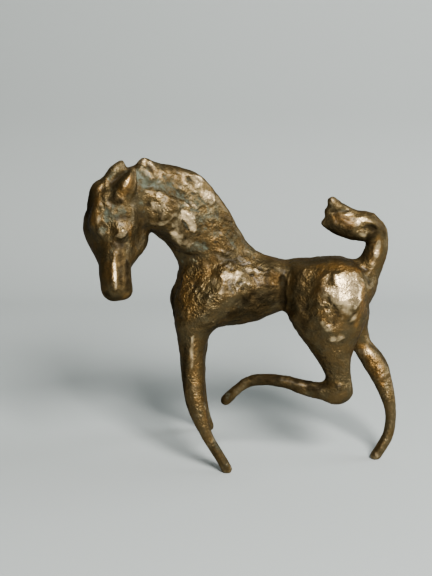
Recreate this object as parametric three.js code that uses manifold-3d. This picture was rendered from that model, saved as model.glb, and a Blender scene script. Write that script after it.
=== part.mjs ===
// A bronze foal about 110 mm tall, modelled by hand in wax and cast in one piece.
// It stands on three thin legs, with the near hind leg drawn up under the belly,
// the head turned to its left and hanging, and a short tail that curls forward over the croup.
//
// Millimetres, +Z up. The foal faces -X, and its left (near) side faces -Y.
// The form is a distance field: strokes of wax are laid along an armature and melt together,
// and hollows are pressed into them. The field is meshed with marching tetrahedra,
// thinned by collapsing edges, and cut flat where the three feet stand.
import * as THREE from "three";
import { mergeVertices } from "three/addons/utils/BufferGeometryUtils.js";
import Module from "manifold-3d";

// Driving sizes
const FOAL_HEIGHT = 110; // floor to the front of the mane
const ARMATURE_HEIGHT = 110; // the height that the armature's joints are given for
const SCALE = FOAL_HEIGHT / ARMATURE_HEIGHT;
const CELL = 1; // step of the grid that the field is read on
const TRIANGLES = 9600; // triangles kept in the finished foal
const SPAN_STEPS = 5; // straight pieces between two joints of a stroke
const PIECE = 9; // numbers kept for each straight piece
const FLOOR_BLOCK = 400; // side of the block that cuts the feet flat
const BRONZE = { color: 0x6b4a22, roughness: 0.42, metalness: 0.9 };

// Directions that a stroke can be flattened along
const ACROSS = new THREE.Vector3(0, 1, 0);
const LEFT_EAR_FACE = new THREE.Vector3(-0.1, -0.95, 0.3).normalize();
const RIGHT_EAR_FACE = new THREE.Vector3(0.3, -0.95, 0).normalize();
const BOSS_FACE = new THREE.Vector3(0.1, -0.9, 0.42).normalize();

// Strokes of wax in the order they are laid. A joint is [x, y, z, radius], on the armature.
// `blend` is the width over which a stroke melts into what is there already, and
// `flat` squeezes its round section along an axis to a share of its width.
const BODY = [
  {
    name: "trunk",
    blend: 6,
    flat: [ACROSS, 0.88],
    joints: [
      [-8, 0, 60, 8],
      [-2.5, 0, 61.2, 11.4],
      [7, 0, 61.3, 12.2],
      [16.4, 0, 63.3, 10.8],
      [24.2, 0, 63.8, 9],
      [32, -0.5, 64.2, 9.4],
      [41, -1, 64, 10.2],
      [49.2, -1.5, 64.5, 7.6],
    ],
  },
  {
    name: "neck",
    blend: 6,
    flat: [ACROSS, 0.56],
    joints: [
      [2.6, 0, 67, 11.8],
      [-3.4, -0.3, 78, 11.4],
      [-9.6, -2, 87.2, 11.2],
      [-16.6, -5, 93.2, 10.8],
      [-23.5, -8, 95.8, 9.4],
    ],
  },
  {
    name: "mane",
    blend: 3,
    flat: [ACROSS, 0.8],
    joints: [
      [-24.4, -8, 108, 2],
      [-19.6, -6.5, 105.2, 2.9],
      [-13.6, -5, 103.4, 3.4],
      [-7.4, -3.5, 100.8, 3.3],
      [-2.7, -2, 95.4, 3.3],
      [1.3, -1, 89.5, 3.2],
      [5.2, 0, 83, 2.7],
      [9.4, 0, 77.4, 2.4],
      [15.2, 0, 72.2, 2.2],
    ],
  },
];

const BREAST = {
  name: "breast",
  blend: 4,
  joints: [
    [-8.6, 0, 58.5, 6],
    [-6.6, 0, 52, 5.2],
  ],
};

const NEAR_FORELEG = {
  name: "near foreleg",
  blend: 6,
  joints: [
    [1, -6.5, 62, 7.4],
    [-6.6, -7.2, 55, 7.4],
    [-8.2, -8.2, 48, 5.6],
    [-8.4, -9.5, 42, 4.5],
    [-8.2, -10.6, 35.6, 4.2],
    [-7.8, -12, 29.3, 3.8],
    [-6.9, -13.6, 23.1, 3.4],
    [-5.1, -15.2, 17.4, 2.5],
    [-2.8, -16.2, 12.1, 1.9],
    [0.3, -17, 7.1, 1.8],
    [3.8, -18, 1, 1.9],
  ],
};

const FAR_FORELEG = {
  name: "far foreleg",
  blend: 4,
  joints: [
    [2, 6.5, 60, 7.2],
    [-4.4, 7.6, 52, 6.2],
    [-6.7, 10, 42.5, 4.4],
    [-7.4, 13, 32, 3.6],
    [-6.8, 15, 22.5, 2.9],
    [-5.2, 17.6, 11, 2.1],
    [-2.9, 20, 1, 2],
  ],
};

const NEAR_HIND_LEG = [
  {
    name: "near haunch and gaskin",
    blend: 5,
    flat: [ACROSS, 0.76],
    joints: [
      [41.6, -6.2, 62.2, 11.6],
      [41.6, -7.6, 55, 11],
      [41, -9.2, 48, 8.7],
      [41.4, -10.5, 40.5, 5.6],
      [43, -11.5, 34.5, 4.5],
      [43.6, -12, 28.4, 4.8],
    ],
  },
  {
    name: "front edge of the near haunch",
    blend: 4,
    joints: [
      [31.2, -5.6, 67, 4.6],
      [29.6, -6.6, 62, 5],
      [30.5, -7.6, 55.4, 5.4],
      [35.9, -9, 48, 4.9],
      [42.3, -10.4, 40.4, 3.5],
    ],
  },
  {
    name: "outer ridge of the near haunch",
    blend: 5,
    joints: [
      [38.5, -10.2, 63.5, 4.5],
      [37.6, -11, 57.5, 4.6],
      [38.6, -11.4, 51, 4],
    ],
  },
  {
    name: "swell of the near haunch",
    blend: 4,
    joints: [
      [43.4, -9.6, 66, 5],
      [44.2, -11.8, 61, 5.2],
    ],
  },
  {
    name: "near cannon, drawn forward",
    blend: 3,
    joints: [
      [41, -12, 27.6, 3.6],
      [37, -12, 28.2, 3],
      [31, -12, 29.6, 2.7],
      [24, -12, 31.6, 2.2],
      [17, -12, 32.6, 2],
      [10, -12, 31, 1.8],
      [3.5, -12, 24.9, 1.9],
    ],
  },
];

const FAR_HIND_LEG = {
  name: "far hind leg",
  blend: 4,
  joints: [
    [43.4, 6, 61.2, 9.2],
    [47.5, 7, 53.4, 8.3],
    [50.4, 6.8, 45.6, 5.4],
    [53.6, 5.6, 39.4, 3.7],
    [58.2, 3, 33, 4.2],
    [60.8, 0.8, 27.7, 3.5],
    [63.2, -2, 20, 2.4],
    [63.7, -3.6, 13.8, 2],
    [62.6, -5, 8, 2],
    [60, -6.2, 3.6, 2],
    [58.2, -6.8, 0.9, 1.9],
  ],
};

const HEAD = [
  {
    name: "skull and muzzle",
    blend: 4,
    joints: [
      [-29.6, -9, 99, 6.4],
      [-33.6, -12.2, 94, 8],
      [-34.2, -13.4, 87.8, 8.2],
      [-33.7, -16.6, 81.4, 6.3],
      [-33.6, -19.8, 75.6, 5.4],
      [-33.3, -22, 71, 5.3],
      [-33.4, -22.4, 68.8, 4.2],
    ],
  },
  {
    name: "lip",
    blend: 2,
    joints: [
      [-34.6, -22.6, 67.8, 3],
      [-30.6, -22.8, 67.8, 2.9],
    ],
  },
  {
    name: "poll",
    blend: 3,
    joints: [
      [-27.9, -8, 102.8, 3.6],
      [-24, -7.6, 102, 4.4],
    ],
  },
  {
    name: "left cheek and jaw",
    blend: 3,
    joints: [
      [-28.2, -8.6, 86.6, 4.6],
      [-27.3, -10, 81.6, 3.8],
      [-29.2, -15, 77.6, 2.8],
    ],
  },
  {
    name: "right cheek and jaw",
    blend: 3,
    joints: [
      [-40.6, -11.4, 89, 4],
      [-40.6, -11.8, 85.4, 4.2],
      [-39.4, -12.8, 81.8, 3.6],
      [-37.2, -16.4, 78.4, 2.6],
    ],
  },
  {
    name: "right brow",
    blend: 1.8,
    joints: [
      [-37.1, -17, 98, 1.7],
      [-38.5, -18.2, 94.3, 2.2],
      [-39.7, -17.6, 89.6, 2.2],
    ],
  },
  { name: "left eye", blend: 2, joints: [[-31, -19, 87.3, 3.1]] },
  { name: "right eye", blend: 1.5, joints: [[-37, -19, 86.9, 1.9]] },
  {
    name: "forelock",
    blend: 2.5,
    joints: [
      [-36, -11.5, 101.4, 2.5],
      [-38.6, -13, 100, 3.1],
      [-39.8, -14, 95.8, 3.1],
    ],
  },
  {
    name: "right ear",
    blend: 1.8,
    flat: [RIGHT_EAR_FACE, 0.75],
    joints: [
      [-35.2, -13, 100.2, 2.8],
      [-33.9, -11.6, 104.2, 3],
      [-32.2, -10, 107.2, 2],
      [-31.6, -9.4, 108.5, 1.1],
    ],
  },
  {
    name: "left ear",
    blend: 1.8,
    flat: [LEFT_EAR_FACE, 0.7],
    joints: [
      [-31.6, -15.4, 97.2, 2.8],
      [-30, -16, 100.9, 3.4],
      [-28.8, -15.2, 104.2, 2.7],
      [-27.6, -13.4, 106.8, 1.1],
    ],
  },
];

const TAIL = [
  {
    name: "tail",
    blend: 3,
    flat: [ACROSS, 0.75],
    joints: [
      [52, -2, 68, 4.6],
      [54.8, -2, 73, 4.4],
      [56.2, -2, 78.4, 4.1],
      [55.6, -2, 83.4, 4],
      [52, -2.8, 86.2, 4.4],
    ],
  },
  {
    name: "tail lock above",
    blend: 2,
    flat: [ACROSS, 0.85],
    joints: [
      [52.6, -3, 87, 3.2],
      [47, -3.4, 88.8, 3],
      [42.5, -3.8, 91.4, 2.6],
      [39.8, -4.2, 94.4, 1.8],
    ],
  },
  {
    name: "tail lock below",
    blend: 2,
    flat: [ACROSS, 0.9],
    joints: [
      [52, -3.6, 84.4, 4.2],
      [46.3, -4.6, 85.6, 4.2],
      [41.3, -5, 86.6, 3.2],
      [37.9, -5, 87.2, 1.8],
    ],
  },
  {
    name: "web between the tail's locks",
    blend: 1.5,
    joints: [
      [46, -3.4, 88, 2.6],
      [38.9, -4.2, 90.8, 1.9],
    ],
  },
];

const MUSCLES = [
  {
    name: "neck boss",
    blend: 2,
    flat: [BOSS_FACE, 0.65],
    joints: [
      [-17.2, -10.2, 94.2, 5.5],
      [-17.6, -9.8, 92, 4.8],
    ],
  },
  {
    name: "neck behind the jaw",
    blend: 3,
    joints: [
      [-23.8, -9.2, 95.6, 3],
      [-23.2, -9.2, 91.2, 2.8],
    ],
  },
  {
    name: "ridge behind the neck boss",
    blend: 1.4,
    joints: [
      [-11.6, -8.6, 94, 1.6],
      [-9.4, -8.2, 89.6, 2.2],
      [-7.6, -6.6, 85.4, 2],
      [-5.6, -4.6, 81, 2],
    ],
  },
  {
    name: "throat ridge",
    blend: 2,
    joints: [
      [-22.2, -9.8, 89, 1.9],
      [-17.6, -9, 87.6, 2.4],
      [-14, -7.4, 84, 2.4],
      [-10.4, -5.4, 79.4, 2],
    ],
  },
  {
    name: "plate beside the throat ridge",
    blend: 2,
    joints: [
      [-13.2, -8.6, 89.2, 2],
      [-10.8, -7.2, 84.4, 2.4],
      [-8, -5.2, 79.4, 2],
    ],
  },
  {
    name: "shoulder",
    blend: 3,
    joints: [
      [5.4, -6.4, 67, 4.6],
      [0.4, -8, 61.5, 5.4],
      [-4, -8.4, 56, 5],
    ],
  },
];

// Hollows, pressed in with the thumb or a tool
const HOLLOWS = [
  {
    name: "flank",
    blend: 3,
    joints: [
      [23.4, -9, 70, 1.6],
      [22.8, -11.6, 64, 3],
      [22.8, -11, 58, 3.4],
    ],
  },
  {
    name: "inside of the left ear",
    blend: 1,
    joints: [
      [-34.8, -18.8, 99.6, 0.9],
      [-33.6, -18.2, 102.6, 1.3],
      [-31.4, -16.8, 105.2, 1.1],
      [-29.6, -15, 107, 0.7],
    ],
  },
  {
    name: "inside of the right ear",
    blend: 1,
    joints: [
      [-35.2, -16.6, 102.4, 1],
      [-33.4, -14.6, 105.6, 1.1],
    ],
  },
  {
    name: "between the ears",
    blend: 1.5,
    joints: [
      [-29.4, -12, 107.8, 1.2],
      [-33.6, -15.8, 103, 0.9],
    ],
  },
  {
    name: "forehead, between the eyes",
    blend: 1.5,
    joints: [
      [-34.8, -21.6, 93.4, 0.9],
      [-34.6, -22.4, 89.7, 0.9],
      [-34.4, -23.2, 85.2, 0.8],
    ],
  },
  {
    name: "above the left eye",
    blend: 1.5,
    joints: [
      [-32, -21.8, 93.2, 1.2],
      [-29.4, -20.8, 92.6, 1],
    ],
  },
  {
    name: "below the left eye",
    blend: 1.5,
    joints: [
      [-32.6, -23.9, 84, 0.9],
      [-29.4, -22.1, 84.4, 1.1],
    ],
  },
  {
    name: "below the mane's edge",
    blend: 2,
    joints: [
      [-23.4, -12.8, 101.6, 0.6],
      [-18.7, -12.2, 101.2, 1],
      [-13.8, -11.2, 99, 1.2],
      [-9.8, -10.2, 96, 1],
    ],
  },
  {
    name: "curl of the tail",
    blend: 1,
    joints: [
      [50.4, -8, 86, 1],
      [54, -7.2, 84.8, 1.4],
    ],
  },
  {
    name: "beside the tail's root",
    blend: 1.5,
    joints: [
      [49, -5, 73.6, 0.8],
      [52.4, -7.2, 71, 1],
    ],
  },
];

const WAX = [
  ...BODY,
  BREAST,
  ...NEAR_HIND_LEG,
  FAR_HIND_LEG,
  NEAR_FORELEG,
  FAR_FORELEG,
  ...HEAD,
  ...TAIL,
  ...MUSCLES,
];

// The smaller of two distances, with the corner between them filled over a width
function melt(a, b, width) {
  const near = Math.max(width - Math.abs(a - b), 0) / width;
  return Math.min(a, b) - (near * near * width) / 4;
}

// What is left of distance a once b is taken out of it
function press(a, b, width) {
  return -melt(-a, b, width);
}

// A stroke as straight pieces between points on a smooth curve through its joints.
// Where it is flat, its pieces are kept in a space stretched along the flat axis, where they are round.
class Stroke {
  constructor({ blend, flat = [ACROSS, 1], joints }) {
    const [axis, ratio] = flat;
    this.axis = axis;
    this.stretch = 1 / ratio - 1;
    this.blend = blend * SCALE;
    const places = joints.map(([x, y, z]) => new THREE.Vector3(x, y, z).multiplyScalar(SCALE));
    const radii = joints.map(([, , , r]) => new THREE.Vector3(r * SCALE, 0, 0));
    this.box = new THREE.Box3().setFromPoints(places).expandByScalar(Math.max(...radii.map((r) => r.x)));
    const single = joints.length === 1;
    const path = new THREE.CatmullRomCurve3(single ? [places[0], places[0]] : places, false, "catmullrom");
    const width = new THREE.CatmullRomCurve3(single ? [radii[0], radii[0]] : radii, false, "catmullrom");
    this.count = single ? 1 : (joints.length - 1) * SPAN_STEPS;
    // Each piece: its start, the way to its end, its first radius, the radius gained, and 1 / length squared
    this.pieces = new Float64Array(this.count * PIECE);
    const point = (i) => {
      const place = path.getPoint(i / this.count);
      return place.addScaledVector(axis, this.stretch * place.dot(axis));
    };
    const radius = (i) => width.getPoint(i / this.count).x;
    for (let i = 0; i < this.count; i++) {
      const start = point(i);
      const way = point(i + 1).sub(start);
      const inverse = 1 / Math.max(way.lengthSq(), 1e-9);
      this.pieces.set([...start, ...way, radius(i), radius(i + 1) - radius(i), inverse], i * PIECE);
    }
  }

  // Distance from a point to the stroke's surface, below zero inside
  distance(x, y, z) {
    const { pieces, stretch } = this;
    const { x: nx, y: ny, z: nz } = this.axis;
    const shift = stretch * (x * nx + y * ny + z * nz);
    const px = x + shift * nx;
    const py = y + shift * ny;
    const pz = z + shift * nz;
    let best = Infinity;
    let bestX = 0;
    let bestY = 0;
    let bestZ = 0;
    let bestLength = 1;
    for (let i = 0; i < pieces.length; i += PIECE) {
      const ax = px - pieces[i];
      const ay = py - pieces[i + 1];
      const az = pz - pieces[i + 2];
      const along = (ax * pieces[i + 3] + ay * pieces[i + 4] + az * pieces[i + 5]) * pieces[i + 8];
      const t = along < 0 ? 0 : along > 1 ? 1 : along;
      const wx = ax - t * pieces[i + 3];
      const wy = ay - t * pieces[i + 4];
      const wz = az - t * pieces[i + 5];
      const length = Math.sqrt(wx * wx + wy * wy + wz * wz);
      const distance = length - pieces[i + 6] - t * pieces[i + 7];
      if (distance < best) {
        best = distance;
        bestX = wx;
        bestY = wy;
        bestZ = wz;
        bestLength = length;
      }
    }
    if (stretch === 0) return best;
    // The stretched space makes distances longer along the flat axis, which the slope takes out again
    const lean = stretch * (bestX * nx + bestY * ny + bestZ * nz);
    const sx = bestX + lean * nx;
    const sy = bestY + lean * ny;
    const sz = bestZ + lean * nz;
    return (best * bestLength) / Math.max(Math.sqrt(sx * sx + sy * sy + sz * sz), 1e-6);
  }

  // A distance that the point is at least away from the stroke, quickly found
  atLeast(x, y, z) {
    const { min, max } = this.box;
    const dx = Math.max(min.x - x, x - max.x, 0);
    const dy = Math.max(min.y - y, y - max.y, 0);
    const dz = Math.max(min.z - z, z - max.z, 0);
    return Math.sqrt(dx * dx + dy * dy + dz * dz);
  }
}

const wax = WAX.map((stroke) => new Stroke(stroke));
const hollows = HOLLOWS.map((stroke) => new Stroke(stroke));

// Distance to the foal's surface
function foalField(x, y, z) {
  let distance = Infinity;
  for (const stroke of wax) {
    if (stroke.atLeast(x, y, z) < distance + stroke.blend) {
      const next = stroke.distance(x, y, z);
      distance = distance === Infinity ? next : melt(distance, next, stroke.blend);
    }
  }
  for (const hollow of hollows) {
    if (hollow.atLeast(x, y, z) < hollow.blend - distance)
      distance = press(distance, hollow.distance(x, y, z), hollow.blend);
  }
  return distance;
}

// Each grid cube is split into six tetrahedra round its diagonal. A corner is 0 to 7, with bits for
// x, y and z.
const TETRAHEDRA = [
  [0, 1, 3, 7],
  [0, 2, 6, 7],
  [0, 4, 5, 7],
  [0, 5, 1, 7],
  [0, 3, 2, 7],
  [0, 6, 4, 7],
];
// Even orders of a tetrahedron's corners: by the corner that is alone, and by the pair that is inside
const ALONE = { 1: [0, 1, 2, 3], 2: [1, 0, 3, 2], 4: [2, 0, 1, 3], 8: [3, 0, 2, 1] };
const PAIR = {
  3: [0, 1, 2, 3],
  5: [0, 2, 3, 1],
  9: [0, 3, 1, 2],
  6: [1, 2, 0, 3],
  10: [1, 3, 2, 0],
  12: [2, 3, 0, 1],
};

// Marching tetrahedra: the closed surface where the field is zero, with its faces pointing out
function meshField(field, box, cell) {
  const count = box
    .getSize(new THREE.Vector3())
    .divideScalar(cell)
    .ceil()
    .addScalar(1);
  const [nx, ny, nz] = count.toArray();
  const values = new Float64Array(nx * ny * nz);
  const at = (i, j, k) => i + nx * (j + ny * k);
  for (let k = 0; k < nz; k++)
    for (let j = 0; j < ny; j++)
      for (let i = 0; i < nx; i++)
        values[at(i, j, k)] = field(box.min.x + i * cell, box.min.y + j * cell, box.min.z + k * cell) || 1e-9;

  const offset = [...Array(8).keys()].map((c) => at(c & 1, (c >> 1) & 1, (c >> 2) & 1));
  const positions = [];
  const faces = [];
  const known = new Map();
  const placeOf = (n) => [n % nx, Math.floor(n / nx) % ny, Math.floor(n / (nx * ny))];
  // The surface point on the edge between two grid corners, made once and then shared
  const crossing = (a, b) => {
    const key = a < b ? a * values.length + b : b * values.length + a;
    if (!known.has(key)) {
      const t = values[a] / (values[a] - values[b]);
      const from = placeOf(a);
      const to = placeOf(b);
      const p = from.map((v, i) => box.min.getComponent(i) + cell * (v + t * (to[i] - v)));
      known.set(key, positions.length / 3);
      positions.push(...p);
    }
    return known.get(key);
  };
  for (let k = 0; k < nz - 1; k++)
    for (let j = 0; j < ny - 1; j++)
      for (let i = 0; i < nx - 1; i++) {
        const base = at(i, j, k);
        const below = offset.filter((o) => values[base + o] < 0).length;
        if (below === 0 || below === 8) continue;
        for (const tetrahedron of TETRAHEDRA) {
          const c = tetrahedron.map((corner) => base + offset[corner]);
          const inside = c.reduce((bits, n, bit) => bits | (values[n] < 0 ? 1 << bit : 0), 0);
          if (PAIR[inside]) {
            const [p, q, r, s] = PAIR[inside].map((n) => c[n]);
            const quad = [crossing(p, r), crossing(p, s), crossing(q, s), crossing(q, r)];
            faces.push(quad[0], quad[1], quad[2], quad[0], quad[2], quad[3]);
          } else if (inside !== 0 && inside !== 15) {
            const outward = inside in ALONE;
            const [p, q, r, s] = ALONE[outward ? inside : 15 - inside].map((n) => c[n]);
            const corners = [crossing(p, q), crossing(p, r), crossing(p, s)];
            faces.push(...(outward ? corners : corners.reverse()));
          }
        }
      }
  return { positions, faces };
}

// Slides each vertex along the field's slope until it lies on the surface
function settle(positions, field, rounds = 2) {
  const step = 0.05;
  for (let i = 0; i < positions.length; i += 3) {
    for (let round = 0; round < rounds; round++) {
      const [x, y, z] = positions.slice(i, i + 3);
      const here = field(x, y, z);
      const slope = new THREE.Vector3(
        field(x + step, y, z) - here,
        field(x, y + step, z) - here,
        field(x, y, z + step) - here,
      ).divideScalar(step);
      const share = Math.min(Math.max(-here / Math.max(slope.lengthSq(), 0.25), -0.4), 0.4);
      positions[i] += share * slope.x;
      positions[i + 1] += share * slope.y;
      positions[i + 2] += share * slope.z;
    }
  }
}

// Thins a closed mesh by collapsing the edges that change its form least, with quadric errors
class Thinner {
  constructor({ positions, faces }) {
    this.points = [];
    for (let i = 0; i < positions.length; i += 3) {
      this.points.push(new THREE.Vector3().fromArray(positions, i));
    }
    this.faces = [];
    this.around = this.points.map(() => new Set());
    this.quadrics = this.points.map(() => new Float64Array(10));
    this.stamps = this.points.map(() => 0);
    this.heap = [];
    for (let i = 0; i < faces.length; i += 3) {
      const face = [faces[i], faces[i + 1], faces[i + 2]];
      this.faces.push(face);
      const quadric = this.planeOf(face);
      for (const v of face) {
        this.around[v].add(this.faces.length - 1);
        quadric.forEach((q, n) => (this.quadrics[v][n] += q));
      }
    }
    this.left = this.faces.length;
    for (const [a, b, c] of this.faces)
      for (const [p, q] of [
        [a, b],
        [b, c],
        [c, a],
      ])
        if (p < q) this.offer(p, q);
  }

  // A face's plane as a quadric, weighted by its area
  planeOf(face) {
    const [a, b, c] = face.map((v) => this.points[v]);
    const normal = b.clone().sub(a).cross(c.clone().sub(a));
    const area = normal.length() / 2;
    normal.normalize();
    const { x, y, z } = normal;
    const w = -normal.dot(a);
    return [x * x, x * y, x * z, x * w, y * y, y * z, y * w, z * z, z * w, w * w].map((q) => q * area);
  }

  neighbours(v) {
    const found = new Set();
    for (const f of this.around[v]) for (const n of this.faces[f]) if (n !== v) found.add(n);
    return found;
  }

  // The best place for the vertex that stands for p and q, and its error
  merged(p, q) {
    const s = this.quadrics[p].map((value, n) => value + this.quadrics[q][n]);
    const cost = ({ x, y, z }) =>
      s[0] * x * x + 2 * s[1] * x * y + 2 * s[2] * x * z + 2 * s[3] * x + s[4] * y * y +
      2 * s[5] * y * z + 2 * s[6] * y + s[7] * z * z + 2 * s[8] * z + s[9];
    const a = this.points[p];
    const b = this.points[q];
    const middle = a.clone().add(b).multiplyScalar(0.5);
    const choices = [middle];
    const matrix = new THREE.Matrix3().set(s[0], s[1], s[2], s[1], s[4], s[5], s[2], s[5], s[7]);
    if (Math.abs(matrix.determinant()) > 1e-6) {
      const solved = new THREE.Vector3(-s[3], -s[6], -s[8]).applyMatrix3(matrix.invert());
      if (solved.distanceTo(middle) < a.distanceTo(b)) choices.unshift(solved);
    }
    const place = choices[0];
    return { place, cost: Math.max(cost(place), 0) + 1e-4 * a.distanceToSquared(b) };
  }

  offer(p, q) {
    const { place, cost } = this.merged(p, q);
    const entry = { p, q, place, cost, stamp: this.stamps[p] + this.stamps[q] };
    const heap = this.heap;
    let i = heap.push(entry) - 1;
    while (i > 0) {
      const parent = (i - 1) >> 1;
      if (heap[parent].cost <= entry.cost) break;
      heap[i] = heap[parent];
      i = parent;
    }
    heap[i] = entry;
  }

  cheapest() {
    const heap = this.heap;
    const top = heap[0];
    const last = heap.pop();
    if (heap.length) {
      let i = 0;
      for (;;) {
        let child = 2 * i + 1;
        if (child >= heap.length) break;
        if (child + 1 < heap.length && heap[child + 1].cost < heap[child].cost) child++;
        if (heap[child].cost >= last.cost) break;
        heap[i] = heap[child];
        i = child;
      }
      heap[i] = last;
    }
    return top;
  }

  // A collapse is allowed where it keeps the surface one closed sheet and turns no face over
  allowed({ p, q, place }) {
    const ofQ = this.neighbours(q);
    const shared = [...this.neighbours(p)].filter((n) => ofQ.has(n));
    if (shared.length !== 2) return false;
    for (const [v, other] of [
      [p, q],
      [q, p],
    ])
      for (const f of this.around[v]) {
        const face = this.faces[f];
        if (face.includes(other)) continue;
        const [a, b, c] = face.map((n) => this.points[n]);
        const before = b.clone().sub(a).cross(c.clone().sub(a));
        const [d, e, g] = face.map((n) => (n === v ? place : this.points[n]));
        const after = e.clone().sub(d).cross(g.clone().sub(d));
        if (before.normalize().dot(after.normalize()) < 0.3) return false;
      }
    return true;
  }

  collapse({ p, q, place }) {
    this.points[p].copy(place);
    this.quadrics[q].forEach((value, n) => (this.quadrics[p][n] += value));
    for (const f of this.around[q]) {
      const face = this.faces[f];
      if (face.includes(p)) {
        for (const v of face) if (v !== q) this.around[v].delete(f);
        this.faces[f] = null;
        this.left--;
      } else {
        face[face.indexOf(q)] = p;
        this.around[p].add(f);
      }
    }
    this.around[q].clear();
    this.stamps[p] += this.stamps[q] + 1;
    this.stamps[q] = Infinity;
    for (const n of this.neighbours(p)) this.offer(p, n);
  }

  thinTo(count) {
    while (this.left > count && this.heap.length) {
      const entry = this.cheapest();
      const current = entry.stamp === this.stamps[entry.p] + this.stamps[entry.q];
      if (current && this.allowed(entry)) this.collapse(entry);
    }
    const geometry = new THREE.BufferGeometry();
    const corners = this.faces.filter(Boolean).flat();
    geometry.setAttribute(
      "position",
      new THREE.Float32BufferAttribute(corners.flatMap((v) => this.points[v].toArray()), 3),
    );
    return mergeVertices(geometry, 1e-5);
  }
}

const wasm = await Module();
wasm.setup();

function solidOf(geometry) {
  return new wasm.Manifold(
    new wasm.Mesh({
      numProp: 3,
      vertProperties: new Float32Array(geometry.attributes.position.array),
      triVerts: new Uint32Array(geometry.index.array),
    }),
  );
}

function geometryOf(solid) {
  const { vertProperties, triVerts } = solid.getMesh();
  const geometry = new THREE.BufferGeometry();
  geometry.setAttribute("position", new THREE.BufferAttribute(vertProperties, 3));
  geometry.setIndex(new THREE.BufferAttribute(triVerts, 1));
  return geometry;
}

// A block under the floor, which takes off what the feet reach below it
function floorBlock() {
  const box = new THREE.BoxGeometry(FLOOR_BLOCK, FLOOR_BLOCK, FLOOR_BLOCK).translate(0, 0, -FLOOR_BLOCK / 2);
  box.deleteAttribute("normal");
  box.deleteAttribute("uv");
  return solidOf(mergeVertices(box));
}

function foalGeometry() {
  const box = wax.reduce((all, stroke) => all.union(stroke.box), new THREE.Box3()).expandByScalar(3 * CELL);
  const mesh = meshField(foalField, box, CELL);
  settle(mesh.positions, foalField);
  const cast = solidOf(new Thinner(mesh).thinTo(TRIANGLES));
  const geometry = geometryOf(cast.subtract(floorBlock()));
  geometry.computeBoundingBox();
  const middle = geometry.boundingBox.getCenter(new THREE.Vector3());
  return geometry.translate(-middle.x, -middle.y, 0);
}

const bronze = new THREE.MeshStandardMaterial({ ...BRONZE, flatShading: true });
const foal = new THREE.Mesh(foalGeometry(), bronze);
foal.name = "foal";

const root = new THREE.Group();
root.add(foal);

export default root;
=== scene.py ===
"""The looks of a small cast bronze foal: its modelled surface, patina and wear, with highlights, sheen and
shade painted into its colour, on a studio floor.
"""
import math
from itertools import starmap
from typing import NamedTuple

import bmesh
import bpy
import numpy as np
from bpy.props import FloatProperty, FloatVectorProperty, IntProperty, PointerProperty
from mathutils.bvhtree import BVHTree
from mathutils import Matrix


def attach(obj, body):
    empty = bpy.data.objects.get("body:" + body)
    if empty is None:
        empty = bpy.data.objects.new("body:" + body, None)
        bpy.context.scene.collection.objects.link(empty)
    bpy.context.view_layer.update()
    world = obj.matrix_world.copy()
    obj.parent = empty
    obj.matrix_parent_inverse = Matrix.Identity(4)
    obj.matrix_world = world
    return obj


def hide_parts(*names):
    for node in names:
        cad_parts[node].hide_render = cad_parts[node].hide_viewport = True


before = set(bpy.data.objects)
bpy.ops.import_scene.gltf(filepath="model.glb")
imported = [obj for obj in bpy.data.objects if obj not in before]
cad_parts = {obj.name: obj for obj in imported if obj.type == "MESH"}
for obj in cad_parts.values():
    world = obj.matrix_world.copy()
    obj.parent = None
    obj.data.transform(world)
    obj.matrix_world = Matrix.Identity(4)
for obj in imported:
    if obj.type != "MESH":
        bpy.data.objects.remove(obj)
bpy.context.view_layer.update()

bl_info = {
    "name": "Bronze foal",
    "version": (1, 0, 0),
    "blender": (4, 5, 0),
    "location": "View3D > Sidebar > Foal",
    "description": "Gives the cast foal its modelled surface and patina, and sets it on a studio floor",
    "category": "Object",
}

PER_METRE = 1000  # the surface is worked on in millimetres
CELL = 5.0  # side of the cells that its vertices are sorted into

# The photograph's frame in pixels, and the point from which it was taken, in millimetres
FRAME_WIDTH = 432
FRAME_HEIGHT = 576
EYE = np.array((-10.5, -327.3, 151.0))
LOOK_DOWN = math.radians(15)
LENS = 60.0
SENSOR = 36.0
FOCAL_PIXELS = LENS / SENSOR * FRAME_HEIGHT

# The side that the photograph shows, and its mirror image on the far side
NEAR = (1, 1, 1)
FAR = (1, -1, 1)
BOTH = (NEAR, FAR)


class Mark(NamedTuple):
    """Something laid on the wax, or on its colour as patina, wear, painted highlights and painted shade: its
    half width in millimetres, how much of it, the pixels of the photograph that it runs through, and the
    sides that it is laid on."""

    width: float
    amount: float
    path: tuple
    sides: tuple = (NEAR,)


class Facet(NamedTuple):
    """A plane cut with the knife: its half width and depth in millimetres, how far it leans towards the light
    (below nought, towards the shade), and the pixels that it runs through."""

    width: float
    depth: float
    lean: float
    path: tuple


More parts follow.
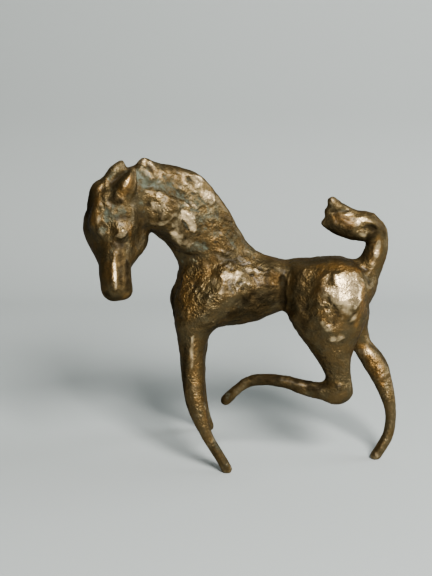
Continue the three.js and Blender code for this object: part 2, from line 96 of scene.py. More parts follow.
# Rows of a Mark's values. Ridges and lumps of wax, by their height in millimetres
RIDGES = {
    "left ear's back": (1.1, 0.6, ((131, 173), (126, 182), (122, 190))),
    "right ear's edge": (0.9, 0.15, ((116, 163), (112, 171), (106, 180))),
    "forelock's rim": (1.3, 0.3, ((99, 186), (98, 198), (96, 212))),
    "right brow": (1.5, 0.6, ((101, 213), (99, 219), (97, 227))),
    "nose": (1.6, 0.8, ((114, 254), (114, 270), (115, 290))),
    "nostril": (0.7, 0.25, ((124, 279), (125, 285))),
    "temple": (0.8, 0.25, ((131, 206), (134, 216), (133, 227))),
    "mane's front edge": (0.9, 0.25, ((138, 164), (141, 160), (146, 159))),
    "mane ridge 1": (0.8, 0.35, ((150, 161), (154, 167), (158, 171))),
    "mane ridge 2": (0.9, 0.4, ((161, 170), (166, 177), (169, 182))),
    "mane ridge 3": (0.9, 0.35, ((172, 174), (181, 175), (188, 177))),
    "mane lump 1": (1.7, 0.5, ((191, 176), (198, 178), (199, 184))),
    "mane lump 2": (1.2, 0.35, ((203, 184), (206, 190))),
    "mane lump 3": (1.4, 0.5, ((210, 193), (211, 203))),
    "mane lump 4": (1.0, 0.35, ((200, 191), (206, 195))),
    "crest lump": (1.5, 0.2, ((211, 188), (218, 196))),
    "crest spot": (0.9, 0.3, ((222, 216), (227, 219))),
    "streak under the mane 1": (0.7, 0.35, ((183, 203), (190, 206), (197, 208))),
    "streak under the mane 2": (0.6, 0.3, ((199, 202), (205, 207))),
    "streak under the mane 3": (0.8, 0.3, ((190, 212), (197, 213))),
    "boss, upper left": (1.6, 0.4, ((155, 193), (161, 196))),
    "boss, left": (1.3, 0.4, ((151, 203), (155, 206), (153, 210))),
    "rim under the boss": (1.3, 0.5, ((149, 222), (160, 224), (170, 220), (176, 213))),
    "neck facet's edge": (1.1, 0.6, ((183, 211), (190, 218), (196, 226))),
    "throat facet": (1.1, 0.4, ((170, 230), (176, 236), (180, 244))),
    "shoulder's edge": (1.3, 0.4, ((241, 285), (237, 296), (228, 305), (225, 318)), BOTH),
    "barrel's edge": (0.9, 0.3, ((242, 285), (254, 286))),
    "barrel lump 1": (1.5, 0.35, ((223, 272), (232, 275))),
    "barrel lump 2": (1.3, 0.35, ((236, 272), (241, 270))),
    "barrel lump 3": (1.6, 0.35, ((250, 272), (260, 273))),
    "shoulder scrape 1": (0.6, 0.3, ((215, 278), (213, 285))),
    "shoulder scrape 2": (0.6, 0.25, ((210, 295), (210, 300))),
    "shoulder scrape 3": (0.6, 0.25, ((222, 286), (219, 295))),
    "flank's edge": (0.8, 0.25, ((291, 272), (288, 281), (286, 290), (288, 298)), BOTH),
    "haunch scrape 3": (0.9, 0.3, ((317, 300), (322, 306))),
    "haunch, lower edge": (1.1, 0.7, ((322, 321), (327, 327), (332, 332)), BOTH),
    "haunch, back edge": (0.8, 0.3, ((352, 320), (358, 313), (360, 306)), BOTH),
    "gaskin lump 1": (0.9, 0.8, ((330, 338), (335, 340))),
    "gaskin lump 2": (0.9, 0.7, ((339, 338), (345, 338))),
    "tail's upper lock": (0.8, 0.3, ((330, 201), (332, 204), (336, 206))),
    "tail's lower lock": (0.9, 0.4, ((344, 215), (349, 215), (354, 214))),
    "tail's stem": (1.0, 0.6, ((379, 240), (377, 250), (376, 257))),
    "hock's end": (1.1, 0.3, ((329, 402), (334, 403))),
    "left eye": (2.3, 1.1, ((118, 235), (125, 234))),
    "left eye's inner edge": (0.8, 0.3, ((117, 226), (117, 232))),
    "shoulder top": (1.0, 0.35, ((229, 249), (236, 250))),
    "foreleg": (1.0, 0.5, ((193, 338), (192, 352), (192, 368))),
    "forehead line": (0.5, 0.25, ((106, 203), (110, 210), (115, 216))),
    "far leg, ring": (0.8, 0.5, ((377, 380), (384, 376), (389, 372))),
    "haunch's top": (1.3, 0.3, ((333, 278), (334, 285))),
}

# Grooves pressed into the wax, by their height, which is below nought
CREASES = {
    "beside the left ear": (1.1, -0.5, ((129, 170), (119, 176), (112, 183), (111, 190))),
    "forelock's fold": (0.9, -0.5, ((103, 186), (101, 196), (103, 208))),
    "between the brows": (0.9, -0.4, ((106, 208), (106, 222))),
    "between the eyes": (1.0, -0.3, ((111, 229), (112, 241))),
    "under the left eye": (0.8, -0.3, ((114, 240), (119, 242), (126, 242), (131, 237))),
    "right eye's lid": (0.7, -0.4, ((95, 231), (103, 241), (109, 242))),
    "mane's cut": (0.8, -0.4, ((147, 163), (149, 168), (152, 171))),
    "mane groove 1": (0.6, -0.45, ((176, 172), (184, 176), (190, 179), (198, 184))),
    "mane groove 2": (0.7, -0.4, ((163, 176), (170, 185), (176, 190))),
    "mane groove 3": (0.7, -0.4, ((184, 185), (192, 193), (200, 199))),
    "under the mane": (1.7, -0.2, ((141, 184), (155, 188), (168, 187), (177, 192), (184, 200))),
    "boss line": (0.6, -0.25, ((150, 210), (155, 212), (160, 214))),
    "neck slit": (0.7, -1.2, ((182, 220), (186, 226), (189, 231))),
    "behind the neck ridge": (0.9, -0.4, ((180, 205), (190, 210), (199, 212))),
    "hole in the shoulder": (1.0, -0.8, ((204, 243), (207, 249))),
    "shoulder's front": (1.6, -0.25, ((184, 258), (200, 254), (212, 246))),
    "flank groove": (1.4, -0.6, ((283, 278), (282, 292), (284, 306)), BOTH),
    "haunch's dip": (1.6, -0.4, ((334, 306), (338, 315), (334, 326))),
    "haunch's front dip": (1.4, -0.35, ((306, 270), (303, 292), (309, 318)), BOTH),
    "tail's fold": (1.2, -0.6, ((362, 222), (368, 226), (375, 229))),
    "tail's parting": (1.0, -0.8, ((329, 212), (339, 212), (349, 210))),
    "nose's right side": (1.6, -0.3, ((121, 246), (121, 262), (120, 284))),
    "far leg, ring": (0.7, -0.4, ((378, 384), (385, 381), (391, 377))),
}

# Rows of a Facet's values, in the order in which the planes are cut
FACETS = {
    "mane's front": (3.4, 0.2, -1.2, ((141, 168), (145, 178))),
    "mane's side": (2.4, 0.3, -0.4, ((156, 176), (160, 180))),
    "mane lump 1": (2.2, 0.2, 0.7, ((193, 178), (198, 182))),
    "mane lump 4": (1.8, 0.2, 0.4, ((184, 188), (190, 193))),
    "right ear": (1.8, 0.1, -0.4, ((114, 170), (109, 179))),
    "boss, top": (2.0, 0.1, 0.9, ((157, 195), (162, 199))),
    "boss, left": (2.0, 0.0, 2.5, ((152, 201), (156, 208))),
    "boss, right": (2.2, 0.1, -0.8, ((170, 201), (174, 208))),
    "boss, foot": (3.0, 0.0, 1.3, ((160, 210), (170, 213))),
    "neck": (1.4, 0.0, 4.0, ((182, 211), (186, 216))),
    "throat": (1.3, 0.0, 4.0, ((171, 231), (176, 235))),
    "under the boss": (2.6, 0.0, 1.5, ((164, 222), (176, 224))),
    "right brow": (1.4, 0.1, 1.5, ((100, 210), (98, 224))),
    "right eye": (1.8, 0.0, 1.2, ((100, 232), (106, 230))),
    "cheek": (2.6, 0.3, -0.3, ((136, 236), (138, 246))),
    "barrel 1": (2.4, 0.3, 0.6, ((224, 272), (230, 275))),
    "barrel 2": (2.0, 0.2, 0.4, ((239, 269), (243, 272))),
    "barrel 3": (2.0, 0.3, -0.9, ((250, 273), (258, 276))),
    "barrel's end": (3.0, 0.2, -1.1, ((270, 272), (273, 282))),
    "barrel's side": (3.2, 0.3, -0.5, ((238, 302), (250, 304))),
    "shoulder 1": (2.4, 0.3, 0.3, ((212, 283), (210, 290))),
    "shoulder 2": (2.4, 0.3, -0.3, ((196, 270), (194, 284))),
    "shoulder 3": (2.2, 0.3, 0.2, ((216, 304), (214, 312))),
    "chest": (3.0, 0.0, 0.8, ((186, 276), (187, 300))),
    "haunch 1": (6.2, 0.0, 0.9, ((338, 277), (352, 284), (342, 300))),
    "haunch 4": (2.2, 0.0, 1.2, ((318, 300), (324, 305))),
    "haunch's front": (3.2, 0.3, -0.5, ((302, 285), (304, 308))),
    "haunch's back": (2.0, 0.0, 1.2, ((350, 322), (356, 314))),
    "gaskin, front": (2.2, 0.3, -0.4, ((324, 352), (328, 364))),
    "gaskin, back": (1.8, 0.2, 0.1, ((345, 352), (346, 372))),
    "hock": (2.0, 0.2, -0.3, ((344, 386), (345, 394))),
    "tail's lower lock": (2.2, 0.3, 0.2, ((354, 220), (360, 226))),
    "neck's root": (2.6, 0.0, 1.6, ((182, 243), (193, 243))),
    "far leg": (1.8, 0.0, 1.0, ((363, 352), (373, 366))),
    "boss, left foot": (2.4, 0.0, 1.6, ((148, 205), (153, 213), (160, 218))),
    "haunch 2": (3.4, 0.0, 1.2, ((325, 276), (327, 288))),
    "haunch, lower": (2.2, 0.0, 2.5, ((339, 307), (347, 312))),
    "neck, middle": (1.5, 0.0, 4.0, ((184, 220), (190, 223))),
    "neck, lower": (1.6, 0.0, 4.5, ((189, 227), (194, 232))),
    "throat, lower": (1.3, 0.0, 4.0, ((176, 239), (180, 244))),
    "haunch, left": (2.4, 0.0, 2.5, ((330, 287), (335, 300))),
    "below the ears": (3.4, 0.0, -0.4, ((112, 201), (122, 202))),
    "left eyelid": (1.6, 0.1, -0.4, ((119, 224), (127, 224))),
    "mane's back": (3.4, 0.0, 1.2, ((190, 180), (203, 189), (212, 201))),
    "boss's corner": (1.4, 0.0, 3.0, ((171, 213), (180, 216))),
    "haunch, right": (2.0, 0.0, 2.0, ((357, 298), (355, 308))),
    "tail's stem": (1.4, 0.0, 3.0, ((378, 247), (376, 257))),
    "tail's root": (1.6, 0.0, 1.5, ((373, 261), (371, 267))),
    "below the tail": (2.4, 0.1, -0.9, ((370, 272), (370, 283))),
    "tail's tip": (1.4, 0.0, -1.0, ((326, 199), (325, 206))),
    "crest's foot": (3.0, 0.1, -0.5, ((208, 261), (220, 262))),
    "neck, whole": (1.5, 0.0, 4.0, ((184, 215), (188, 222), (192, 229))),
    "tail's middle": (1.8, 0.1, -0.9, ((337, 217), (344, 222))),
    "mane, middle": (2.6, 0.1, -0.7, ((166, 176), (180, 183))),
}

# A plane that faces the first way mirrors the main light into the camera, and one that faces the second way
# mirrors the dark room
GLEAM = np.array((0.18, -0.86, 0.47))
SHADE = np.array((-0.55, -0.45, -0.70))

# Rows of a Mark's values again, by their strength up to one. Places with a coarser surface
ROUGH = {
    "barrel": (9.0, 1.0, ((226, 270), (244, 272), (262, 272)), BOTH),
    "shoulder": (9.0, 0.9, ((198, 266), (188, 288), (196, 312), (214, 300)), BOTH),
    "neck": (10.0, 0.45, ((196, 190), (186, 214), (178, 236), (196, 246)), BOTH),
    "boss": (6.0, 0.35, ((164, 206),), BOTH),
    "haunch": (8.0, 0.4, ((344, 286), (334, 304), (326, 322)), BOTH),
    "gaskin": (6.0, 0.4, ((332, 336), (336, 360), (338, 384)), BOTH),
    "foreleg": (4.0, 0.35, ((192, 330), (192, 360), (196, 396), (208, 430)), BOTH),
    "head": (7.0, 0.4, ((112, 214), (118, 236))),
    "far leg": (3.4, 0.6, ((372, 360), (380, 376), (389, 400))),
    "tail": (4.0, 0.5, ((350, 220), (364, 226))),
    "crest": (6.0, 0.7, ((214, 214), (222, 234), (228, 252))),
    "belly": (5.0, 0.7, ((230, 312), (256, 308), (276, 300)), BOTH),
    "haunch's front": (5.0, 0.3, ((306, 276), (306, 300), (314, 330))),
    "muzzle": (4.0, 0.4, ((108, 286), (122, 290))),
}

# Places that hands have rubbed bright, and painted highlights: bright bronze colour laid where the light
# should gleam
RUBBED_AND_HIGHLIGHTS = {
    "left ear": (0.6, 0.6, ((128, 180), (124, 187))),
    "right brow": (0.8, 1.0, ((100, 215), (98, 225))),
    "forelock": (0.8, 0.4, ((98, 188), (97, 197))),
    "left eye": (1.2, 0.9, ((116, 236), (121, 236), (126, 234))),
    "nose": (0.7, 0.6, ((113, 258), (115, 270), (116, 289))),
    "nostril": (0.7, 0.4, ((125, 280), (125, 285))),
    "mane's peak": (1.0, 0.7, ((139, 163), (144, 160))),
    "mane ridge 1": (0.8, 0.7, ((150, 162), (155, 168))),
    "mane ridge 2": (1.0, 0.5, ((163, 172), (168, 181))),
    "mane lump 1": (2.2, 0.95, ((192, 178), (199, 180), (196, 186))),
    "mane lump 2": (1.8, 0.6, ((202, 190), (206, 194))),
    "mane lump 3": (2.4, 0.95, ((206, 191), (211, 203))),
    "mane's side": (2.0, 0.35, ((178, 178), (186, 186), (196, 194))),
    "under the mane": (1.2, 0.6, ((184, 204), (192, 207), (199, 208))),
    "boss 1": (1.4, 0.95, ((157, 194), (162, 197))),
    "boss 2": (1.3, 0.95, ((152, 203), (157, 206))),
    "neck facet": (2.2, 1.0, ((183, 211), (189, 220), (195, 230))),
    "throat": (2.0, 0.8, ((172, 232), (178, 238), (180, 245))),
    "ridge under the boss": (0.9, 0.6, ((150, 222), (160, 224), (170, 220), (176, 213))),
    "barrel 1": (2.2, 0.7, ((223, 276), (232, 276), (241, 272))),
    "barrel 2": (1.4, 0.6, ((246, 269), (252, 270))),
    "barrel 3": (1.0, 0.5, ((243, 282), (252, 284))),
    "shoulder 1": (0.8, 0.7, ((215, 278), (213, 285))),
    "shoulder 2": (1.0, 0.5, ((222, 288), (220, 300))),
    "shoulder's edge": (0.7, 0.3, ((238, 286), (236, 297))),
    "flank": (0.8, 0.4, ((291, 274), (287, 284))),
    "haunch 1": (4.8, 1.0, ((338, 279), (349, 283), (342, 294), (350, 303))),
    "haunch 2": (3.6, 1.0, ((334, 288), (338, 299), (350, 303))),
    "haunch 3": (2.6, 0.65, ((328, 276), (326, 288), (322, 303))),
    "haunch 4": (1.2, 0.7, ((321, 322), (329, 331))),
    "gaskin 1": (1.3, 0.8, ((330, 338), (337, 339), (343, 337))),
    "tail's upper lock": (0.6, 0.7, ((331, 202), (332, 205))),
    "tail's lower lock": (0.9, 0.7, ((343, 216), (348, 214), (353, 214))),
    "tail's stem": (1.0, 1.0, ((379, 240), (377, 250), (376, 258))),
    "tail, side": (1.5, 0.8, ((356, 223), (361, 220), (366, 219))),
    "foreleg 1": (0.7, 0.9, ((193, 336), (192, 350), (192, 368))),
    "foreleg 2": (1.2, 0.4, ((193, 386), (197, 395))),
    "foot": (0.7, 0.7, ((227, 464),)),
    "far leg 1": (1.2, 0.8, ((359, 350), (365, 352), (371, 353))),
    "far leg 2": (0.9, 0.15, ((387, 372), (388, 395))),
    "far foreleg": (0.7, 0.6, ((204, 406), (206, 410))),
    "far foot": (0.6, 0.6, ((376, 453), (378, 457))),
    "haunch 5": (1.2, 0.5, ((350, 322), (357, 313))),
    "boss, lower": (2.4, 0.5, ((150, 208), (158, 209), (168, 208))),
    "neck, upper": (2.0, 0.5, ((180, 216), (176, 224), (176, 232))),
    "neck's root": (2.2, 0.5, ((182, 244), (192, 242))),
    "haunch, right": (2.0, 0.9, ((356, 280), (360, 292), (355, 307))),
    "tail's root": (1.3, 0.8, ((375, 260), (372, 268))),
    "haunch, lower": (2.0, 0.7, ((340, 304), (348, 308), (352, 316))),
    "boss's corner": (1.2, 0.8, ((170, 214), (180, 216))),
    "tail's end": (1.1, 0.5, ((359, 233), (366, 236))),
    "shoulder top": (1.0, 0.5, ((229, 249), (235, 251))),
    "barrel 4": (1.2, 0.6, ((254, 270), (261, 272))),
    "haunch, middle": (3.0, 0.45, ((328, 308), (336, 318), (330, 328))),
    "barrel 5": (1.0, 0.6, ((229, 262), (231, 265))),
}

# Places with a grey-green powder
VERDIGRIS = {
    "mane's front": (4.8, 1.0, ((142, 168), (144, 178), (150, 184))),
    "mane's side": (2.6, 0.6, ((157, 175), (164, 180))),
    "band under the mane": (3.0, 0.5, ((150, 187), (166, 187), (178, 192), (190, 203))),
    "crest": (2.2, 0.7, ((206, 205), (212, 214), (218, 219))),
    "right ear": (1.6, 0.55, ((118, 168), (111, 177), (107, 184))),
    "forehead": (3.0, 0.75, ((105, 208), (116, 211), (128, 210))),
    "between the brows": (1.8, 0.7, ((107, 210), (106, 222))),
    "nose bridge": (1.6, 0.5, ((112, 246), (112, 254))),
    "neck's root": (3.0, 1.0, ((188, 250), (199, 246), (207, 248))),
    "chest spot": (1.2, 0.8, ((183, 262),)),
    "chest": (1.8, 0.6, ((188, 260), (196, 262))),
    "tail": (2.0, 0.6, ((333, 207), (345, 208))),
    "tail, side": (2.2, 0.55, ((355, 226), (363, 233))),
    "elbow": (2.2, 0.5, ((204, 315), (208, 322))),
    # On the croup's top this grey-green is a painted reflection of the dim room above
    "croup": (3.0, 0.35, ((305, 260), (330, 258), (352, 260)), BOTH),
    "throat side": (1.6, 0.5, ((142, 200), (143, 212))),
    "neck": (9.0, 0.5, ((152, 172), (188, 200), (214, 234))),
    "crest's back": (5.0, 0.4, ((224, 226), (240, 244), (262, 256))),
    "right eye": (2.2, 1.0, ((100, 231), (106, 230))),
    "far foreleg": (1.6, 0.8, ((203, 402), (208, 412), (211, 424))),
    "raised foot": (2.4, 0.8, ((222, 402), (228, 394), (234, 387))),
    "foot": (2.4, 0.6, ((206, 428), (218, 448), (228, 466))),
}

# Places with dark patina and dirt, and painted shade: darker colour laid where shade falls, on undersides,
# left-facing sides, creases and below the eye
DIRT_AND_PAINTED_SHADE = {
    "ear's hollow": (1.4, 0.9, ((127, 172), (118, 177), (111, 184), (111, 190))),
    "forelock": (3.0, 0.8, ((90, 186), (89, 200), (87, 214))),
    "mane's cut": (1.1, 0.9, ((147, 164), (153, 173))),
    "neck slit": (0.6, 1.0, ((182, 220), (186, 226), (189, 231))),
    "under the throat": (2.4, 0.4, ((150, 230), (165, 236), (174, 250))),
    "shoulder's hole": (1.2, 1.0, ((203, 243), (207, 250))),
    "chest's front": (1.6, 0.8, ((177, 262), (172, 290), (174, 318))),
    "barrel's end": (4.4, 0.5, ((270, 262), (274, 270), (276, 283))),
    "mane's top": (2.2, 0.8, ((160, 166), (176, 168), (190, 170))),
    "raised leg": (4.0, 0.6, ((250, 384), (276, 384), (306, 388))),
    "tail's lower lock": (1.8, 0.8, ((331, 222), (344, 230), (356, 237))),
    "croup": (3.0, 0.4, ((300, 260), (330, 258), (356, 260))),
    "cheek": (2.4, 0.4, ((138, 228), (138, 248))),
    "muzzle, right": (2.6, 0.9, ((127, 262), (128, 290))),
    "barrel's underside": (4.2, 0.85, ((242, 300), (262, 298), (277, 292)), BOTH),
    "flank groove": (2.6, 1.0, ((282, 276), (283, 284), (283, 296), (284, 308)), BOTH),
    "haunch's front": (3.0, 0.6, ((303, 270), (299, 284), (299, 300), (306, 330))),
    "haunch's dip": (1.8, 0.45, ((334, 307), (336, 322))),
    "tail's fold": (2.2, 1.0, ((368, 226), (376, 232), (368, 240))),
    "tail's underside": (2.0, 0.8, ((328, 226), (350, 236), (364, 242))),
    "tail's root": (1.8, 0.8, ((364, 250), (362, 262))),
    "croup's edge": (2.4, 0.5, ((306, 262), (330, 259), (354, 262)), BOTH),
    "hock": (2.6, 1.0, ((306, 388), (318, 390), (326, 384))),
    "raised foot": (2.6, 0.6, ((221, 403), (230, 394))),
    "below the left ear": (2.8, 1.0, ((110, 200), (122, 201))),
    "muzzle's end": (1.6, 0.6, ((104, 293), (112, 299), (122, 298))),
    "foot": (2.4, 0.6, ((214, 444), (222, 456), (228, 468))),
    "nose's right side": (1.7, 0.8, ((120, 244), (121, 262), (121, 286))),
    "above the left eye": (2.2, 0.8, ((116, 217), (129, 217))),
    "left ear's edge": (1.1, 0.7, ((134, 172), (132, 184), (127, 196))),
    "mane's front": (3.0, 0.45, ((141, 174), (143, 192))),
    "raised leg's top": (2.0, 1.0, ((250, 379), (275, 378), (300, 382), (322, 381))),
    "tail's outer side": (1.8, 0.7, ((368, 214), (380, 222), (386, 236))),
    "far leg's edge": (1.2, 0.7, ((369, 344), (380, 354), (388, 366))),
    "barrel, lower": (2.0, 0.8, ((268, 270), (267, 279), (270, 288))),
    "behind the shoulder": (1.8, 0.5, ((218, 290), (230, 288))),
    "nose's top": (3.0, 0.4, ((108, 254), (122, 255))),
    "band under the mane": (2.2, 0.6, ((146, 188), (160, 188), (174, 193), (184, 200))),
    "streaks under the mane": (0.9, 0.8, ((185, 200), (191, 206))),
    "below the left eye": (3.2, 0.8, ((112, 244), (126, 246))),
    "crest": (4.0, 0.5, ((222, 216), (236, 236), (252, 248))),
    "boss, right": (2.2, 0.45, ((170, 200), (175, 207))),
    "shoulder's front": (2.0, 0.5, ((202, 262), (210, 262))),
    "tail's middle": (2.0, 0.85, ((336, 220), (345, 223), (352, 228))),
    "below the tail": (2.4, 0.45, ((370, 271), (369, 284))),
    "tail's tip": (1.3, 0.7, ((326, 198), (325, 208), (322, 218))),
    "crest's foot": (2.4, 0.5, ((212, 258), (228, 255), (250, 255))),
    "foreleg's left": (1.3, 0.7, ((186, 344), (185, 366), (184, 396), (188, 408))),
    "hock, front": (1.6, 0.6, ((336, 384), (340, 390))),
    "barrel's edge": (1.5, 0.8, ((258, 284), (268, 286), (280, 287))),
    "tail's top": (1.3, 0.6, ((334, 199), (340, 203), (346, 205))),
    "tail's groove": (1.4, 0.9, ((333, 214), (341, 217), (350, 220))),
    "mane, middle": (2.4, 0.4, ((164, 176), (180, 184))),
    "raised leg's knee": (1.6, 0.6, ((230, 386), (240, 381))),
    "crest's middle": (1.8, 0.5, ((224, 240), (230, 246))),
    "far leg's top": (1.2, 0.5, ((364, 342), (369, 347))),
    "tail's parting": (0.9, 0.8, ((330, 211), (340, 212), (348, 211))),
    "above the right brow": (1.3, 0.5, ((99, 199), (99, 208))),
    "crest lump": (1.2, 0.4, ((212, 189), (215, 195))),
    "left ear's tip": (1.2, 0.4, ((132, 170), (130, 177))),
    "shoulder, low": (2.2, 0.5, ((216, 284), (220, 282))),
    "above the barrel": (2.0, 0.6, ((214, 250), (222, 260), (238, 262))),
    "belly": (4.5, 0.6, ((230, 316), (252, 311), (272, 302)), BOTH),
    "right ear": (1.6, 0.4, ((114, 168), (110, 176))),
    "flank's top": (1.6, 0.6, ((282, 266), (282, 273))),
    "shoulder's back": (1.4, 0.4, ((230, 290), (232, 294))),
}

# Places with a thin, warm patina
WARM = {
    "left ear": (2.4, 1.0, ((129, 178), (126, 188), (121, 195))),
    "forelock's rim": (1.4, 0.9, ((98, 188), (96, 206), (96, 224))),
    "left eye's corner": (1.4, 0.9, ((131, 226), (130, 238))),
    "muzzle": (2.6, 0.5, ((108, 262), (108, 282))),
    "muzzle's end": (1.4, 0.7, ((128, 294), (124, 298))),
    "croup": (2.2, 1.0, ((318, 267), (340, 266), (360, 270))),
    "haunch's back": (2.2, 0.8, ((362, 284), (363, 305), (356, 325))),
    "neck's root": (3.6, 0.5, ((204, 226), (214, 234), (218, 250))),
    "shoulder": (3.2, 0.4, ((212, 258), (206, 272), (196, 284))),
    "barrel's end": (2.4, 0.6, ((272, 272), (276, 284))),
    "foreleg": (2.4, 0.4, ((196, 336), (195, 360), (198, 392), (207, 420))),
    "chest": (3.4, 0.5, ((186, 268), (185, 294), (187, 318))),
    "haunch, lower": (4.0, 0.35, ((322, 312), (340, 322), (350, 312))),
    "haunch, middle": (3.0, 0.6, ((319, 272), (323, 284), (322, 300))),
    "tail": (2.4, 0.7, ((378, 236), (377, 250), (372, 262))),
    "far leg": (2.4, 0.8, ((360, 344), (370, 360), (382, 384))),
    "right brow": (2.4, 1.0, ((96, 211), (94, 224))),
    "tail's lower lock": (2.4, 1.0, ((334, 217), (344, 220), (352, 227))),
}

# Painted sheen: pale bronze colour laid where a soft gleam should be, though the surface there doesn't face
# the light
PAINTED_SHEEN = {
    "neck facet": (2.0, 0.8, ((183, 212), (189, 220), (195, 231))),
    "left eye": (0.9, 0.5, ((116, 236), (121, 237))),
    "throat": (1.6, 0.5, ((166, 230), (174, 233), (178, 241))),
    "haunch": (2.6, 0.6, ((334, 290), (338, 299), (348, 304))),
    "haunch, lower": (1.4, 0.5, ((338, 309), (344, 312))),
    "gaskin": (1.2, 0.8, ((339, 335), (345, 337))),
    "foreleg": (0.7, 0.9, ((192, 338), (191, 352), (191, 371))),
    "far leg": (0.8, 0.15, ((385, 378), (386, 396))),
    "tail's stem": (0.8, 0.5, ((377, 248), (376, 258))),
    "forehead line": (0.5, 0.6, ((106, 203), (110, 210), (115, 216))),
    "mane lump": (1.4, 0.4, ((192, 178), (197, 182))),
    "rim under the boss": (0.9, 0.4, ((168, 223), (176, 224))),
    "boss's foot": (0.9, 0.7, ((152, 213), (154, 219))),
    "tail's root": (0.7, 0.5, ((374, 258), (372, 264))),
    "right eye": (1.3, 0.4, ((99, 235), (104, 231))),
    "haunch's back": (0.9, 0.4, ((350, 322), (356, 315))),
    "flank": (0.6, 0.5, ((290, 274), (288, 284))),
    "right brow": (0.6, 0.4, ((100, 217), (98, 224))),
    "barrel": (3.0, 0.4, ((227, 275), (244, 273), (258, 275))),
    "tail's lower lock": (0.9, 0.4, ((351, 227), (356, 225))),
    "mane's side": (0.8, 0.4, ((166, 178), (168, 181))),
    "boss, left": (1.3, 0.4, ((152, 202), (156, 208))),
    "boss, right": (1.0, 0.3, ((174, 207), (174, 213))),
    "nose's end": (0.8, 0.4, ((116, 283), (117, 289))),
}

# The tables that the material reads, and how far their strength wanders from place to place
PATCHES = {
    "rubbed_and_highlit": (RUBBED_AND_HIGHLIGHTS, 1.0),
    "verdigris": (VERDIGRIS, 1.0),
    "dirt_and_shade": (DIRT_AND_PAINTED_SHADE, 0.4),
    "warm": (WARM, 1.0),
    "painted_sheen": (PAINTED_SHEEN, 1.0),
}

# How many half widths marks and cuts reach, and the shares of their heights, depths and leans that are used
MARK_REACH = 1.35
CUT_REACH = 1.3
HEIGHT_SHARE = 0.6
DEPTH_SHARE = 0.5
LEAN_SHARE = 0.5

# How far a cut brings the surface to its plane, the share of its reach that sets the plane's place, and the
# share of its half width that it may move the surface
CUT_SHARE = 0.65
CUT_MIDDLE = 0.6
CUT_LIMIT = 0.5

# A trail's width at its ends, how far its rim wanders, and how far what lies beside it must face as it does
TRAIL_ENDS = 0.4
RIM_WANDER = 0.3
FACING_ALIKE = 0.1

# A dab's reach in spacings, and how much more slowly it falls along its long axis
DAB_REACH = 1.7
DAB_STRETCH = 0.55

# Least and greatest radius of a pit in millimetres, and its height as a share of that
PIT_RADIUS = (0.5, 1.1)
PIT_HEIGHT = (-0.28, 0.14)

# Millimetres between which the foal's parts pass into each other: along x for the backs, along z for the rest
HEAD_BACK = (-33, -39)
HEAD_BOTTOM = (56, 60)
NECK_BACK = (8, -4)
NECK_BOTTOM = (66, 78)
LEGS_TOP = (46, 36)
LEGS_THICKEN = (16, 40)
SOLES = (0.2, 2.5)

# The ways in which the wax was drawn out
DOWN_THE_NECK = np.array((0.75, 0.0, -0.66))
DOWN_THE_LEGS = np.array((0.2, 0.0, 0.98))
ALONG_THE_BODY = np.array((0.94, 0.0, 0.34))

# Rounds of easing that show fine and broad hollows, and the millimetres at which each counts as deep
HOLLOWS = ((8, 0.16), (70, 0.9))


def swell(t):
    """One in the middle, falling smoothly to nought at the edge: one less t squared, squared."""
    return np.clip(1 - t * t, 0, None) ** 2


def ease(low, high, x):
    """Nought up to low and one from high on, with a smooth step between."""
    t = np.clip((x - low) / (high - low), 0, 1)
    return t * t * (3 - 2 * t)


def lengths(vectors):
    """Each vector's length."""
    return np.sqrt((vectors * vectors).sum(-1))


def cloud(points, size, seed):
    """Soft noise between -1 and 1: random numbers on a cubic lattice of that size, blended smoothly between
    the eight corners of each cell."""
    cell = points / size
    corner = np.floor(cell).astype(int)
    t = cell - corner
    t = t * t * (3 - 2 * t)
    corner -= corner.min(axis=0)
    lattice = np.random.default_rng(seed).uniform(-1, 1, size=corner.max(axis=0) + 2)
    total = np.zeros(len(points))
    for step in np.ndindex(2, 2, 2):
        share = np.where(step, t, 1 - t).prod(axis=1)
        total += share * lattice[tuple((corner + step).T)]
    return total


def lumps(points, size, seed, along, stretch=1.8):
    """Lumps parted by thin creases: soft noise without its sign, on points that are drawn together along a
    direction, so that the lumps are that many times longer that way."""
    squeezed = points - (1 - 1 / stretch) * (points @ along)[:, None] * along
    noise = np.abs(cloud(squeezed, size, seed))
    return noise - noise.mean()


